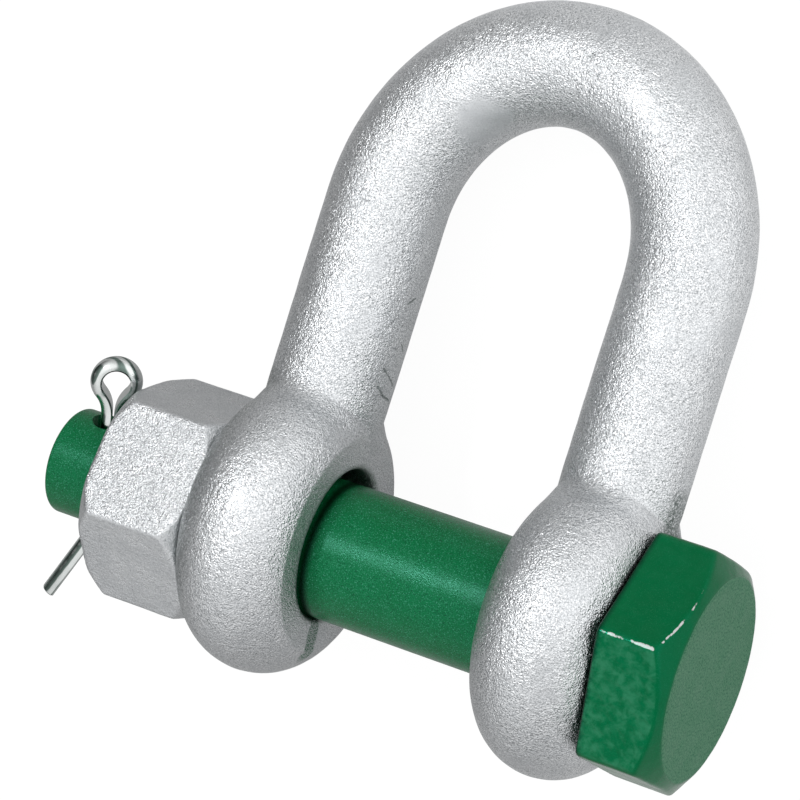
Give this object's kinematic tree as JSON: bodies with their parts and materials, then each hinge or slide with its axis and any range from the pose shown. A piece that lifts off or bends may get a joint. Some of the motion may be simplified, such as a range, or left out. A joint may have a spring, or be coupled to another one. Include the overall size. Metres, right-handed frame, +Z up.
{
  "type": "dee shackle",
  "caption": "Bolt-type dee shackle: a forged round-bar bow with eyes, closed by a painted hex-head bolt that a hex nut and a bent split pin hold in place.",
  "frame": {"origin": "on the floor under the middle of the part's box; the shackle lies on its side on the rims of its eyes and on its crown", "axes": "+X along the bolt towards its head, +Y from the bolt towards the crown of the bow, +Z up"},
  "size_m": [0.167, 0.1668, 0.0687],
  "materials": {
    "galvanised_steel": "hot-dip galvanised, grainy and bright",
    "green_paint": "satin enamel",
    "plated_wire": "bright zinc plating"
  },
  "bodies": {
    "bow": {"bow": "galvanised_steel"},
    "bolt": {"bolt": "green_paint", "hex_nut": "galvanised_steel", "split_pin": "plated_wire"}
  },
  "joints": [
    {"name": "bolt_turn", "type": "hinge", "parent": "bow", "child": "bolt", "pos_m": [0.01363, -0.04993, 0.03463], "axis": [1, 0, 0], "continuous": true}
  ]
}
